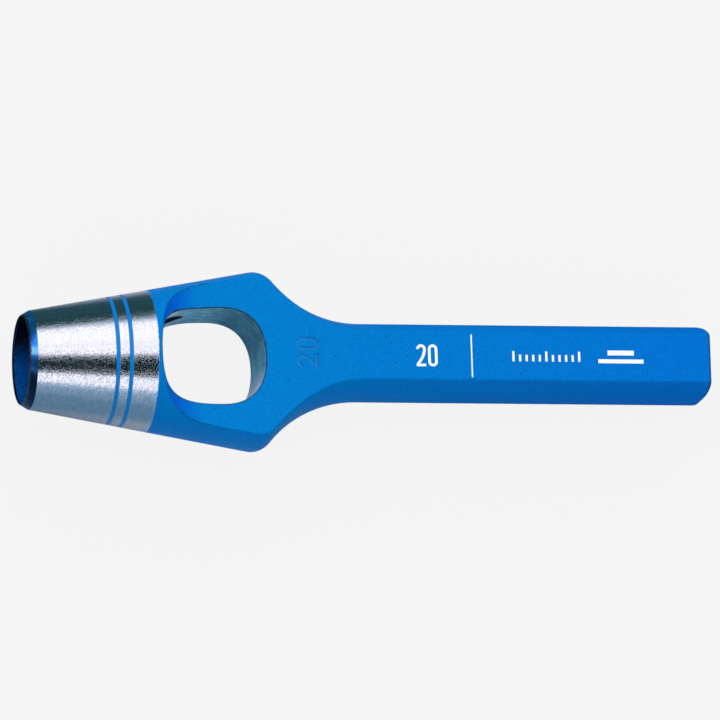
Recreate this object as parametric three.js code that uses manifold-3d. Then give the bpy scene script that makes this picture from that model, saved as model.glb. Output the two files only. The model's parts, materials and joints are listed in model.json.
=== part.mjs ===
// Arch punch (drive hole punch) for cutting 20 mm discs, lying on its back as it rests on a bench.
// Millimetres. In the tool's own frame X runs along the axis from the cutting edge to the
// striking face, Y runs across the width and Z through the thickness.

import * as THREE from 'three';
import { mergeVertices } from 'three/addons/utils/BufferGeometryUtils.js';
import Module from 'manifold-3d';

const wasm = await Module();
wasm.setup();

// ---------- driving dimensions ----------

const EDGE_RADIUS = 10;            // the punch cuts a 20 mm hole
const OVERALL_LENGTH = 155.2;

const BEVEL_LENGTH = 1.8;          // ground bevel behind the cutting edge
const CONE_START_RADIUS = 10.73;   // cone surface carried forward to the plane of the edge
const CONE_ANGLE = THREE.MathUtils.degToRad(10.15);
const BRIGHT_END = 28.2;           // where the bright turning stops and the lacquer starts

const BORE_EDGE_RADIUS = 9.85;     // the bore widens towards the window, so that discs fall out
const BORE_ANGLE = THREE.MathUtils.degToRad(0.4);
const BORE_DEPTH = 38.5;

const GROOVE_CENTRES = [19.3, 22.2];
const GROOVE_WIDTH = 0.8;
const GROOVE_DEPTH = 0.35;
const LACQUER_SINK = 0.1;          // the lacquer in a groove stays this far below the steel

const WINDOW_START = 29;
const WINDOW_WIDEST = 44;
const WINDOW_END = 53.9;
const WINDOW_HALF_WIDTH = 10.85;
const WINDOW_CENTRE_Y = -0.35;

const SCALLOP_RADIUS = 12;
const HEAD_HALF_THICKNESS = 8.3;
const SHANK_HALF_THICKNESS = 9.3;
const SHOULDER_RADIUS = 4.5;
const NECK_RADIUS = 26.5;
const NECK_END = 76.3;
const SHANK_HALF_WIDTH = 8.6;
const SHANK_BULGE = 3.2;           // how far the shank's rounded sides stand out from its flats
const BULGE_START = 57;
const BULGE_END = 73;
const END_CORNER_LENGTH = 2.5;     // the end's corners are quarter ellipses, trimmed square
const END_CORNER_DEPTH = 3.6;      // to the flats on the upper side and less on the lower
const END_CORNER_DEPTH_LOWER = 2.2;
const END_FACE_RADIUS = 0.7;

const STAMP = { x: 63.2, y: 0.6, height: 5, width: 2.9, gap: 0.8, stroke: 0.65, depth: 0.3 };
const SIZE_MARK = { x: 90.3, height: 5, width: 2.15, gap: 0.5, stroke: 0.6 };
const PRINT_THICKNESS = 0.08;
const DIVIDER = { x: 100.5, width: 0.3, length: 9.7 };
const RULE = { x: 117.5, ticks: 11, pitch: 1.5, width: 0.5, short: 1.5, long: 2.3, longEvery: 5 };
const LABEL_BARS = [
  { name: 'label_bar_upper', x: 134.5, y: 0.95, length: 6, width: 1.1 },
  { name: 'label_bar_lower', x: 134.5, y: -0.95, length: 10.3, width: 0.9 },
];

const ROUND_SEGMENTS = 96;
const SIDE_SEGMENTS = 14;          // along one rounded side of a cross-section
const CURVE_SEGMENTS = 20;

// ---------- materials ----------

const steel = () => new THREE.MeshStandardMaterial({ color: 0xc9ccd2, roughness: 0.3, metalness: 1 });
const edgeLacquer = () => new THREE.MeshStandardMaterial({ color: 0x1c6fae, roughness: 0.3, metalness: 0.6 });
const lacquer = () => new THREE.MeshStandardMaterial({ color: 0x0482db, roughness: 0.4, metalness: 0 });
const print = () => new THREE.MeshStandardMaterial({ color: 0xf4f6f8, roughness: 0.6, metalness: 0 });

// ---------- solids ----------

function toSolid(geometry) {
  const bare = geometry.clone();
  bare.deleteAttribute('normal');
  bare.deleteAttribute('uv');
  const merged = mergeVertices(bare, 1e-5);
  const index = merged.index.array;
  const triangles = [];
  for (let i = 0; i < index.length; i += 3) {
    const [a, b, c] = [index[i], index[i + 1], index[i + 2]];
    if (a !== b && b !== c && c !== a) triangles.push(a, b, c);
  }
  return new wasm.Manifold(new wasm.Mesh({
    numProp: 3,
    vertProperties: new Float32Array(merged.attributes.position.array),
    triVerts: new Uint32Array(triangles),
  }));
}

function toGeometry(solid) {
  const mesh = solid.getMesh();
  const geometry = new THREE.BufferGeometry();
  geometry.setAttribute('position', new THREE.BufferAttribute(new Float32Array(mesh.vertProperties), 3));
  geometry.setIndex(new THREE.BufferAttribute(new Uint32Array(mesh.triVerts), 1));
  geometry.computeVertexNormals();
  return geometry;
}

function piece(name, geometry, material) {
  const mesh = new THREE.Mesh(geometry, material);
  mesh.name = name;
  return mesh;
}

// A closed [x, radius] profile, its inner wall first, turned about the tool's axis.
function turned(profile) {
  const points = profile.map(([x, radius]) => new THREE.Vector2(radius, x)).reverse();
  points.push(points[0].clone());
  const geometry = new THREE.LatheGeometry(points, ROUND_SEGMENTS);
  geometry.rotateZ(-Math.PI / 2);
  return toGeometry(toSolid(geometry));
}

// ---------- shape of the forging ----------

const coneSlope = Math.tan(CONE_ANGLE);
const coneRadius = (x) => CONE_START_RADIUS + x * coneSlope;
const boreRadius = (x) => BORE_EDGE_RADIUS + x * Math.tan(BORE_ANGLE);

// How far an arc of the given radius has left its tangent at a distance along that tangent.
const arcDrop = (radius, along) => radius - Math.sqrt(Math.max(radius * radius - along * along, 0));

// The scallop is an arc that leaves the cone at the window and runs out on the head's flat.
const scallopDrop = coneRadius(WINDOW_START) - HEAD_HALF_THICKNESS;
const SCALLOP_END = WINDOW_START
  + Math.sqrt(SCALLOP_RADIUS ** 2 - (SCALLOP_RADIUS - scallopDrop) ** 2);

// The shoulder arc touches the cone line on one side and the neck arc on the other.
const neckCentreY = SHANK_HALF_WIDTH + NECK_RADIUS;
const shoulder = (() => {
  const offset = CONE_START_RADIUS - SHOULDER_RADIUS / Math.cos(CONE_ANGLE);
  const rise = offset - neckCentreY;
  const a = 1 + coneSlope ** 2;
  const b = 2 * (coneSlope * rise - NECK_END);
  const c = NECK_END ** 2 + rise ** 2 - (NECK_RADIUS + SHOULDER_RADIUS) ** 2;
  const x = (-b - Math.sqrt(b * b - 4 * a * c)) / (2 * a);
  const share = SHOULDER_RADIUS / (SHOULDER_RADIUS + NECK_RADIUS);
  return {
    x,
    y: offset + coneSlope * x,
    start: x - SHOULDER_RADIUS * Math.sin(CONE_ANGLE),
    end: x + share * (NECK_END - x),
  };
})();

function halfThickness(x) {
  if (x <= WINDOW_START) return coneRadius(x);
  if (x < SCALLOP_END) return HEAD_HALF_THICKNESS + arcDrop(SCALLOP_RADIUS, SCALLOP_END - x);
  const along = Math.min((x - SCALLOP_END) / (NECK_END - SCALLOP_END), 1);
  const flat = THREE.MathUtils.lerp(HEAD_HALF_THICKNESS, SHANK_HALF_THICKNESS, along);
  const intoEnd = Math.max(x - (OVERALL_LENGTH - END_FACE_RADIUS), 0);
  return flat - arcDrop(END_FACE_RADIUS, intoEnd);
}

function halfWidth(x) {
  if (x < shoulder.start) return coneRadius(x);
  if (x < shoulder.end) return shoulder.y + SHOULDER_RADIUS - arcDrop(SHOULDER_RADIUS, x - shoulder.x);
  if (x < NECK_END) return SHANK_HALF_WIDTH + arcDrop(NECK_RADIUS, NECK_END - x);
  return SHANK_HALF_WIDTH;
}

// How far from the axis the end's rounded corners let the section reach.
function cornerLimit(x, depth) {
  const intoEnd = (x - (OVERALL_LENGTH - END_CORNER_LENGTH)) / END_CORNER_LENGTH;
  return intoEnd > 0 ? SHANK_HALF_WIDTH - depth * arcDrop(1, intoEnd) : Infinity;
}

const circleBulge = (x) => coneRadius(x) - Math.sqrt(coneRadius(x) ** 2 - halfThickness(x) ** 2);

function sideBulge(x) {
  if (x <= WINDOW_START) return coneRadius(x);
  if (x < shoulder.start) return circleBulge(x);
  const blend = THREE.MathUtils.smoothstep(x, BULGE_START, BULGE_END);
  return THREE.MathUtils.lerp(circleBulge(shoulder.start), SHANK_BULGE, blend);
}

// One cross-section: two flats joined by two sides, each an arc through the flats' corners.
function crossSection(x) {
  const thickness = halfThickness(x);
  const width = halfWidth(x);
  const bulge = sideBulge(x);
  const radius = (thickness ** 2 + bulge ** 2) / (2 * bulge);
  const centre = width - radius;
  const halfAngle = Math.atan2(thickness, radius - bulge);
  const points = [];
  for (const side of [1, -1]) {
    const limit = cornerLimit(x, side > 0 ? END_CORNER_DEPTH : END_CORNER_DEPTH_LOWER);
    for (let i = 0; i <= SIDE_SEGMENTS; i += 1) {
      const angle = halfAngle * (2 * i / SIDE_SEGMENTS - 1);
      const reach = Math.min(centre + radius * Math.cos(angle), limit);
      points.push([side * reach, side * radius * Math.sin(angle)]);
    }
  }
  return points;
}

// A solid through the cross-sections at the given stations, closed by flat ends.
function loft(stations) {
  const rings = stations.map((x) => crossSection(x).map(([y, z]) => [x, y, z]));
  const count = rings[0].length;
  const positions = rings.flat(2);
  const firstCentre = positions.length / 3;
  positions.push(stations[0], 0, 0, stations.at(-1), 0, 0);
  const lastRing = (rings.length - 1) * count;
  const index = [];
  for (let i = 0; i < count; i += 1) {
    const next = (i + 1) % count;
    for (let ring = 0; ring < lastRing; ring += count) {
      index.push(ring + i, ring + next, ring + count + i);
      index.push(ring + next, ring + count + next, ring + count + i);
    }
    index.push(firstCentre, next, i);
    index.push(firstCentre + 1, lastRing + i, lastRing + next);
  }
  const geometry = new THREE.BufferGeometry();
  geometry.setAttribute('position', new THREE.Float32BufferAttribute(positions, 3));
  geometry.setIndex(index);
  return toSolid(geometry);
}

// Stations from start to end; a power above 1 crowds them at the start, below 1 at the end.
function spread(start, end, steps, power = 1) {
  const stations = [];
  for (let i = 0; i < steps; i += 1) {
    stations.push(THREE.MathUtils.lerp(start, end, (i / steps) ** power));
  }
  return stations;
}

// ---------- figures ----------

// A condensed figure 2 with its lower left corner at the origin.
function figureTwo({ width, height, stroke }) {
  const outer = width / 2;
  const bowlY = height - outer;
  const shape = new THREE.Shape();
  shape.moveTo(0, 0);
  shape.lineTo(width, 0);
  shape.lineTo(width, stroke);
  shape.lineTo(stroke * 1.25, stroke);
  shape.quadraticCurveTo(width, height * 0.45, width, bowlY);
  shape.absarc(outer, bowlY, outer, 0, Math.PI, false);
  shape.lineTo(stroke, bowlY);
  shape.absarc(outer, bowlY, outer - stroke, Math.PI, 0, true);
  shape.quadraticCurveTo(width - stroke, height * 0.5, 0, stroke);
  shape.closePath();
  return shape;
}

// A condensed figure 0: a tall ring with round ends.
function figureZero({ width, height, stroke }) {
  const outer = width / 2;
  const inner = outer - stroke;
  const shape = new THREE.Shape();
  shape.absarc(outer, outer, outer, Math.PI, 0, false);
  shape.absarc(outer, height - outer, outer, 0, Math.PI, false);
  shape.closePath();
  const hole = new THREE.Path();
  hole.absarc(outer, outer, inner, Math.PI, 0, false);
  hole.absarc(outer, height - outer, inner, 0, Math.PI, false);
  hole.closePath();
  shape.holes.push(hole);
  return shape;
}

const plate = (shape, depth) => new THREE.ExtrudeGeometry(shape, {
  depth, bevelEnabled: false, curveSegments: CURVE_SEGMENTS,
});

// ---------- pieces ----------

function cuttingEdge() {
  return turned([
    [0, BORE_EDGE_RADIUS],
    [BEVEL_LENGTH, boreRadius(BEVEL_LENGTH)],
    [BEVEL_LENGTH, coneRadius(BEVEL_LENGTH)],
    [0, EDGE_RADIUS],
  ]);
}

const grooveFloor = (centre) => coneRadius(centre) - GROOVE_DEPTH;

function cutterCone() {
  const profile = [
    [BEVEL_LENGTH, boreRadius(BEVEL_LENGTH)],
    [BRIGHT_END, boreRadius(BRIGHT_END)],
    [BRIGHT_END, coneRadius(BRIGHT_END)],
  ];
  for (const centre of [...GROOVE_CENTRES].reverse()) {
    const rear = centre + GROOVE_WIDTH / 2;
    const front = centre - GROOVE_WIDTH / 2;
    profile.push([rear, coneRadius(rear)], [rear, grooveFloor(centre)]);
    profile.push([front, grooveFloor(centre)], [front, coneRadius(front)]);
  }
  profile.push([BEVEL_LENGTH, coneRadius(BEVEL_LENGTH)]);
  return turned(profile);
}

function grooveLacquer(centre) {
  const rear = centre + GROOVE_WIDTH / 2;
  const front = centre - GROOVE_WIDTH / 2;
  return turned([
    [front, grooveFloor(centre)],
    [rear, grooveFloor(centre)],
    [rear, coneRadius(rear) - LACQUER_SINK],
    [front, coneRadius(front) - LACQUER_SINK],
  ]);
}

// The window's outline: fuller towards the bore, rounder towards the shank.
function windowShape() {
  const [start, widest, end, half] = [WINDOW_START, WINDOW_WIDEST, WINDOW_END, WINDOW_HALF_WIDTH];
  const boreHandle = 0.8;
  const shankHandle = 0.65;
  const shape = new THREE.Shape();
  shape.moveTo(widest, -half);
  shape.bezierCurveTo(widest + shankHandle * (end - widest), -half, end, -shankHandle * half, end, 0);
  shape.bezierCurveTo(end, shankHandle * half, widest + shankHandle * (end - widest), half, widest, half);
  shape.bezierCurveTo(widest - boreHandle * (widest - start), half, start, boreHandle * half, start, 0);
  shape.bezierCurveTo(start, -boreHandle * half, widest - boreHandle * (widest - start), -half, widest, -half);
  return shape;
}

function stampedSize() {
  const textLength = 2 * STAMP.width + STAMP.gap;
  const figures = [figureTwo(STAMP), figureZero(STAMP)].map((shape, i) => {
    const figure = plate(shape, 2 * STAMP.depth);
    figure.translate(i * (STAMP.width + STAMP.gap) - textLength / 2, -STAMP.height / 2, 0);
    figure.rotateZ(Math.PI / 2);
    figure.translate(STAMP.x, STAMP.y, halfThickness(STAMP.x) - STAMP.depth);
    return toSolid(figure);
  });
  return figures[0].add(figures[1]);
}

function punchHead() {
  const blank = loft([
    BRIGHT_END,
    ...spread(WINDOW_START, SCALLOP_END, 16, 2),
    ...spread(SCALLOP_END, shoulder.start, 6),
    ...spread(shoulder.start, shoulder.end, 8),
    ...spread(shoulder.end, NECK_END, 16),
    NECK_END,
  ]);
  const throughHeight = 4 * SHANK_HALF_THICKNESS;
  const windowCut = plate(windowShape(), throughHeight);
  windowCut.translate(0, WINDOW_CENTRE_Y, -throughHeight / 2);
  const bore = turned([[0, 0], [BORE_DEPTH, 0], [BORE_DEPTH, boreRadius(BORE_DEPTH)], [0, BORE_EDGE_RADIUS]]);
  return toGeometry(blank.subtract(toSolid(windowCut)).subtract(toSolid(bore)).subtract(stampedSize()));
}

// Stations along the end's corners, evenly spaced in the quarter ellipse's own angle.
function endStations(steps) {
  return Array.from({ length: steps }, (_, i) => (
    OVERALL_LENGTH - END_CORNER_LENGTH * (1 - Math.sin(Math.PI / 2 * i / steps))
  ));
}

function shank() {
  return toGeometry(loft([
    NECK_END,
    ...endStations(14),
    OVERALL_LENGTH,
  ]));
}

// A printed mark on the shank's front flat, from its outline in the flat's plane.
function printed(name, shape, x, y) {
  const geometry = plate(shape, PRINT_THICKNESS);
  geometry.translate(x, y, SHANK_HALF_THICKNESS);
  return piece(name, toGeometry(toSolid(geometry)), print());
}

function bar(length, width) {
  const shape = new THREE.Shape();
  shape.moveTo(-length / 2, -width / 2);
  shape.lineTo(length / 2, -width / 2);
  shape.lineTo(length / 2, width / 2);
  shape.lineTo(-length / 2, width / 2);
  shape.closePath();
  return shape;
}

function printedMarks() {
  const { x, height, width, gap } = SIZE_MARK;
  const marks = [
    printed('size_digit_two', figureTwo(SIZE_MARK), x - gap / 2 - width, -height / 2),
    printed('size_digit_zero', figureZero(SIZE_MARK), x + gap / 2, -height / 2),
    printed('divider_line', bar(DIVIDER.width, DIVIDER.length), DIVIDER.x, 0),
  ];
  for (let i = 0; i < RULE.ticks; i += 1) {
    const tickHeight = i % RULE.longEvery === 0 ? RULE.long : RULE.short;
    const tickX = RULE.x + (i - (RULE.ticks - 1) / 2) * RULE.pitch;
    const name = `rule_tick_${String(i + 1).padStart(2, '0')}`;
    marks.push(printed(name, bar(RULE.width, tickHeight), tickX, (tickHeight - RULE.long) / 2));
  }
  for (const label of LABEL_BARS) {
    marks.push(printed(label.name, bar(label.length, label.width), label.x, label.y));
  }
  return marks;
}

// ---------- assembly ----------

const punch = new THREE.Group();
punch.add(
  piece('cutting_edge', cuttingEdge(), edgeLacquer()),
  piece('cutter_cone', cutterCone(), steel()),
  piece('front_groove_lacquer', grooveLacquer(GROOVE_CENTRES[0]), lacquer()),
  piece('rear_groove_lacquer', grooveLacquer(GROOVE_CENTRES[1]), lacquer()),
  piece('punch_head', punchHead(), lacquer()),
  piece('shank', shank(), lacquer()),
  ...printedMarks(),
);

// At rest the punch touches the bench at the cone's big end and at the back edge of the
// striking face, so its axis slopes down a little towards the striking face.
const highContact = { x: WINDOW_START, z: coneRadius(WINDOW_START) };
const lowContact = { x: OVERALL_LENGTH - END_FACE_RADIUS, z: SHANK_HALF_THICKNESS };
punch.rotation.y = Math.atan2(highContact.z - lowContact.z, lowContact.x - highContact.x);

// The origin is the middle of the base of the box around the punch.
const box = new THREE.Box3().setFromObject(punch, true);
punch.position.set(-(box.min.x + box.max.x) / 2, -(box.min.y + box.max.y) / 2, -box.min.z);

export default punch;
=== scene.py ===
import json
import math

import bmesh
import bpy
from mathutils import Matrix, Vector


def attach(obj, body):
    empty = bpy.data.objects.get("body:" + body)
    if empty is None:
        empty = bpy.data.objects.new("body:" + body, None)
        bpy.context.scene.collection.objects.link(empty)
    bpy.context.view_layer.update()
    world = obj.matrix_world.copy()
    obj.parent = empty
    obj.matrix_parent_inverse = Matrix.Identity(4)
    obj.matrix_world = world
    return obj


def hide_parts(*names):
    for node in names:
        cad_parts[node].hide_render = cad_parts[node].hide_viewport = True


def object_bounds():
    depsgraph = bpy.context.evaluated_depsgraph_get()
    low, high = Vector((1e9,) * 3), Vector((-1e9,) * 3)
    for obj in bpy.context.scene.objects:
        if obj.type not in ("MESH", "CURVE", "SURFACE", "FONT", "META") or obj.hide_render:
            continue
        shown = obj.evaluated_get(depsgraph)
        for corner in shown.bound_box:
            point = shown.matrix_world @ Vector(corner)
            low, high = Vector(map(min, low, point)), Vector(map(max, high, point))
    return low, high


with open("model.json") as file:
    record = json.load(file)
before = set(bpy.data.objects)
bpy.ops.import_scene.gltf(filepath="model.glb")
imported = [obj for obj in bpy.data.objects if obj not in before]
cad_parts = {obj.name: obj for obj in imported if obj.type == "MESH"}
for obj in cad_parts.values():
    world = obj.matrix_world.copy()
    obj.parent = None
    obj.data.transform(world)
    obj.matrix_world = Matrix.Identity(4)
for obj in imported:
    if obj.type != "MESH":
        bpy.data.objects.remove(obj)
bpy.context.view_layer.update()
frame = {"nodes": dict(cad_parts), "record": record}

# Lengths are millimetres in the tool's own frame until place() puts a mesh in the row frame.
# There X runs along the axis from the cutting edge, Y across the width, Z through the thickness.
MM = 0.001

# ---------- driving dimensions, as in the CAD source ----------

EDGE_RADIUS = 10.0
OVERALL_LENGTH = 155.2
BEVEL_LENGTH = 1.8
CONE_START_RADIUS = 10.73
CONE_ANGLE = math.radians(10.15)
BRIGHT_END = 28.2
BORE_EDGE_RADIUS = 9.85
BORE_ANGLE = math.radians(0.4)
BORE_DEPTH = 38.5
GROOVE_CENTRES = (19.3, 22.2)
GROOVE_WIDTH = 0.8
GROOVE_DEPTH = 0.35
LACQUER_SINK = 0.04
WINDOW_START = 29.0
WINDOW_WIDEST = 44.0
WINDOW_END = 53.9
WINDOW_HALF_WIDTH = 10.85
WINDOW_CENTRE_Y = -0.35
SCALLOP_RADIUS = 12.0
HEAD_HALF_THICKNESS = 8.3
SHANK_HALF_THICKNESS = 9.3
SHOULDER_RADIUS = 4.5
NECK_RADIUS = 26.5
NECK_END = 76.3
SHANK_HALF_WIDTH = 8.6
SHANK_BULGE = 3.2
BULGE_START = 57.0
BULGE_END = 73.0
END_CORNER_LENGTH = 2.5
END_CORNER_DEPTH = 3.6
END_CORNER_DEPTH_LOWER = 2.2
END_FACE_RADIUS = 0.7
STAMP_CENTRE = (63.2, 0.6)
STAMP_FIGURE = {"width": 2.9, "height": 5.0, "stroke": 0.7}
STAMP_GAP = 0.95
STAMP_DEPTH = 0.3

# ---------- finer shape that only the visual model has ----------

CREASE_ROUND = 0.35                # rounding where a flat meets a side
SCALLOP_CREASE_ROUND = 0.16        # crisper beside the scallops
RIM_ROUND = 0.3                    # rounding of the window's rims
SIDE_SEGMENTS = 36
CREASE_SEGMENTS = 4
TURNED_SEGMENTS = 288
END_LINE_WIDTH = 0.6               # the lacquer is thin and dark on the very edge of the end
CREASE_LINE_END = 41.0             # the dark line along the scallops' creases fades out here
END_STEPS = 30
WINDOW_POINTS = 52                 # along each quarter of the window's outline
SHARP_ANGLE = math.radians(34)
CREASE_FULL_X = 60.0               # from here on the creases have their full rounding
CREASE_MAX_SHARE = 0.8             # the most that a crease may take of a flat's half width
CORNER_BLEND_LEAST = 0.02          # how softly the end's corners run into the sides,
CORNER_BLEND_GAIN = 0.5            # which grows from the start of the corners
CORNER_BLEND_FULL = 1.3            # until this far from the striking face
NO_LIMIT = 100.0
FLAT_FACE_WEIGHT = 80              # larger faces win where normals are averaged
WELD_DISTANCE = 1e-4
SLIVER_LENGTH = 1e-5
CUTTER_REACH = 24.0                # the window's cutter ends well outside the head
CUTTER_STEPS = (0.0, 0.3, 0.6, 0.85, 1.05)   # angles along the rounding of a rim
BORE_CUT_START = 20.0
BORE_BLIND_CONE = 3.0
STAMP_SLOPE = 0.12                 # the stamp's sides slope in by this much
STAMP_INSET = 0.1
STAMP_LIFT = 0.15
STAMP_WELD = 1e-3
RIM_TILT = 0.25                    # the window's cut faces tilted more than this belong to its rims
WALL_SLOT, BORE_SLOT, RIM_SLOT, CREASE_SLOT, STAMP_SLOT = range(1, 6)


# ---------- shape of the forging ----------

def cone_radius(x):
    return CONE_START_RADIUS + x * math.tan(CONE_ANGLE)


def bore_radius(x):
    return BORE_EDGE_RADIUS + x * math.tan(BORE_ANGLE)


def arc_drop(radius, along):
    return radius - math.sqrt(max(radius * radius - along * along, 0.0))


def smoothstep(x, start, end):
    t = min(max((x - start) / (end - start), 0.0), 1.0)
    return t * t * (3 - 2 * t)


def scallop_end():
    drop = cone_radius(WINDOW_START) - HEAD_HALF_THICKNESS
    return WINDOW_START + math.sqrt(SCALLOP_RADIUS ** 2 - (SCALLOP_RADIUS - drop) ** 2)


SCALLOP_END = scallop_end()
NECK_CENTRE_Y = SHANK_HALF_WIDTH + NECK_RADIUS


def shoulder_arc():
    """Centre x and y, start and end of the arc that touches the cone line and the neck arc."""
    slope = math.tan(CONE_ANGLE)
    offset = CONE_START_RADIUS - SHOULDER_RADIUS / math.cos(CONE_ANGLE)
    rise = offset - NECK_CENTRE_Y
    a = 1 + slope ** 2
    b = 2 * (slope * rise - NECK_END)
    c = NECK_END ** 2 + rise ** 2 - (NECK_RADIUS + SHOULDER_RADIUS) ** 2
    x = (-b - math.sqrt(b * b - 4 * a * c)) / (2 * a)
    share = SHOULDER_RADIUS / (SHOULDER_RADIUS + NECK_RADIUS)
    return x, offset + slope * x, x - SHOULDER_RADIUS * math.sin(CONE_ANGLE), x + share * (NECK_END - x)


SHOULDER_X, SHOULDER_Y, SHOULDER_START, SHOULDER_END = shoulder_arc()


def half_thickness(x):
    if x <= WINDOW_START:
        return cone_radius(x)
    if x < SCALLOP_END:
        return HEAD_HALF_THICKNESS + arc_drop(SCALLOP_RADIUS, SCALLOP_END - x)
    along = min((x - SCALLOP_END) / (NECK_END - SCALLOP_END), 1.0)
    flat = HEAD_HALF_THICKNESS + along * (SHANK_HALF_THICKNESS - HEAD_HALF_THICKNESS)
    return flat - arc_drop(END_FACE_RADIUS, max(x - (OVERALL_LENGTH - END_FACE_RADIUS), 0.0))


def half_width(x):
    if x < SHOULDER_START:
        return cone_radius(x)
    if x < SHOULDER_END:
        return SHOULDER_Y + SHOULDER_RADIUS - arc_drop(SHOULDER_RADIUS, x - SHOULDER_X)
    if x < NECK_END:
        return SHANK_HALF_WIDTH + arc_drop(NECK_RADIUS, NECK_END - x)
    return SHANK_HALF_WIDTH


def corner_limit(x, depth):
    """How far from the axis the end's rounded corners and edge let the section reach."""
    into_corner = max(x - (OVERALL_LENGTH - END_CORNER_LENGTH), 0.0)
    into_face = max(x - (OVERALL_LENGTH - END_FACE_RADIUS), 0.0)
    limit = SHANK_HALF_WIDTH - depth * arc_drop(1.0, into_corner / END_CORNER_LENGTH)
    return limit - arc_drop(END_FACE_RADIUS, into_face) if into_corner > 0 else NO_LIMIT


def circle_bulge(x):
    return cone_radius(x) - math.sqrt(cone_radius(x) ** 2 - half_thickness(x) ** 2)


def side_bulge(x):
    if x <= WINDOW_START:
        return cone_radius(x)
    if x < SHOULDER_START:
        return circle_bulge(x)
    head = circle_bulge(SHOULDER_START)
    return head + (SHANK_BULGE - head) * smoothstep(x, BULGE_START, BULGE_END)


def soft_min(a, b, softness):
    return min(a, b) - max(softness - abs(a - b), 0.0) ** 2 / (4 * softness)


def surface_height(x, y):
    """Height of the front of the head over a point near the window."""
    return min(half_thickness(x), math.sqrt(max(cone_radius(x) ** 2 - y * y, 0.0)))


def bezier(a, b, c, d, steps):
    """Points from a towards d, without d itself."""
    points = []
    for i in range(steps):
        t = i / steps
        weights = ((1 - t) ** 3, 3 * t * (1 - t) ** 2, 3 * t * t * (1 - t), t ** 3)
        points.append(sum((Vector(p) * w for p, w in zip((a, b, c, d), weights)), Vector((0, 0))))
    return points


def window_outline():
    start, widest, end, half = WINDOW_START, WINDOW_WIDEST, WINDOW_END, WINDOW_HALF_WIDTH
    points = WINDOW_POINTS
    bore_handle, shank_handle = 0.8, 0.65
    towards_end = widest + shank_handle * (end - widest)
    towards_start = widest - bore_handle * (widest - start)
    outline = (
        bezier((widest, -half), (towards_end, -half), (end, -shank_handle * half), (end, 0), points)
        + bezier((end, 0), (end, shank_handle * half), (towards_end, half), (widest, half), points)
        + bezier((widest, half), (towards_start, half), (start, bore_handle * half), (start, 0), points)
        + bezier((start, 0), (start, -bore_handle * half), (towards_start, -half), (widest, -half), points)
    )
    return [Vector((p.x, p.y + WINDOW_CENTRE_Y)) for p in outline]


# ---------- mesh helpers ----------

def new_object(name, bm):
    mesh = bpy.data.meshes.new(name)
    bm.to_mesh(mesh)
    bm.free()
    thing = bpy.data.objects.new(name, mesh)
    bpy.context.scene.collection.objects.link(thing)
    return thing


def skin(rings, caps=True, wrap=False, paint=None):
    """A closed mesh through rings of equally many points; the last ring joins the first if wrap.
    paint, if given, picks a face's material from its ring's and its own place in the order."""
    bm = bmesh.new()
    loops = [[bm.verts.new(p) for p in ring] for ring in rings]
    count = len(loops[0])
    pairs = list(zip(loops, loops[1:] + loops[:1])) if wrap else list(zip(loops, loops[1:]))
    for ring, (low, high) in enumerate(pairs):
        for i in range(count):
            j = (i + 1) % count
            face = bm.faces.new((low[i], low[j], high[j], high[i]))
            face.material_index = paint(ring, i) if paint else 0
    if caps and not wrap:
        bm.faces.new(list(reversed(loops[0])))
        bm.faces.new(loops[-1])
    bmesh.ops.remove_doubles(bm, verts=bm.verts, dist=WELD_DISTANCE)
    bmesh.ops.dissolve_degenerate(bm, edges=bm.edges, dist=SLIVER_LENGTH)
    bmesh.ops.recalc_face_normals(bm, faces=bm.faces)
    return bm


def turned(name, profile):
    """A closed [x, radius] profile turned about the tool's axis."""
    rings = []
    for i in range(TURNED_SEGMENTS):
        a = 2 * math.pi * i / TURNED_SEGMENTS
        rings.append([(x, r * math.cos(a), r * math.sin(a)) for x, r in profile])
    return new_object(name, skin(rings, wrap=True))


def spread(start, end, steps, power=1.0):
    return [start + (end - start) * (i / steps) ** power for i in range(steps)]


def cross_section(x):
    """Two flats and two bulging sides, with the four creases between them rounded."""
    thickness, width, bulge = half_thickness(x), half_width(x), side_bulge(x)
    radius = (thickness ** 2 + bulge ** 2) / (2 * bulge)
    centre = width - radius
    half_angle = math.atan2(thickness, radius - bulge)
    corner = Vector((width - bulge, thickness))
    along = smoothstep(x, SCALLOP_END, CREASE_FULL_X)
    reach = SCALLOP_CREASE_ROUND + (CREASE_ROUND - SCALLOP_CREASE_ROUND) * along
    reach = min(reach, CREASE_MAX_SHARE * max(corner.x, 0.0))
    top_angle = half_angle - reach / radius
    arc_top = Vector((centre + radius * math.cos(top_angle), radius * math.sin(top_angle)))
    flat_top = Vector((corner.x - reach, thickness))
    side = []
    for i in range(SIDE_SEGMENTS + 1):
        a = top_angle * (2 * i / SIDE_SEGMENTS - 1)
        side.append(Vector((centre + radius * math.cos(a), radius * math.sin(a))))
    crease = []
    for i in range(1, CREASE_SEGMENTS + 1):
        t = i / CREASE_SEGMENTS
        crease.append(arc_top * (1 - t) ** 2 + corner * 2 * t * (1 - t) + flat_top * t * t)
    lower = [Vector((p.x, -p.y)) for p in reversed(crease)]
    into_end = smoothstep(x, OVERALL_LENGTH - END_CORNER_LENGTH, OVERALL_LENGTH - CORNER_BLEND_FULL)
    softness = CORNER_BLEND_LEAST + CORNER_BLEND_GAIN * into_end
    half = lower + side + crease
    upper_limit, lower_limit = corner_limit(x, END_CORNER_DEPTH), corner_limit(x, END_CORNER_DEPTH_LOWER)
    section = [(x, soft_min(p.x, upper_limit, softness), p.y) for p in half]
    return section + [(x, -soft_min(p.x, lower_limit, softness), -p.y) for p in half]


def apply_modifiers(thing):
    graph = bpy.context.evaluated_depsgraph_get()
    made = bpy.data.meshes.new_from_object(thing.evaluated_get(graph))
    thing.modifiers.clear()
    thing.data = made


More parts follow.
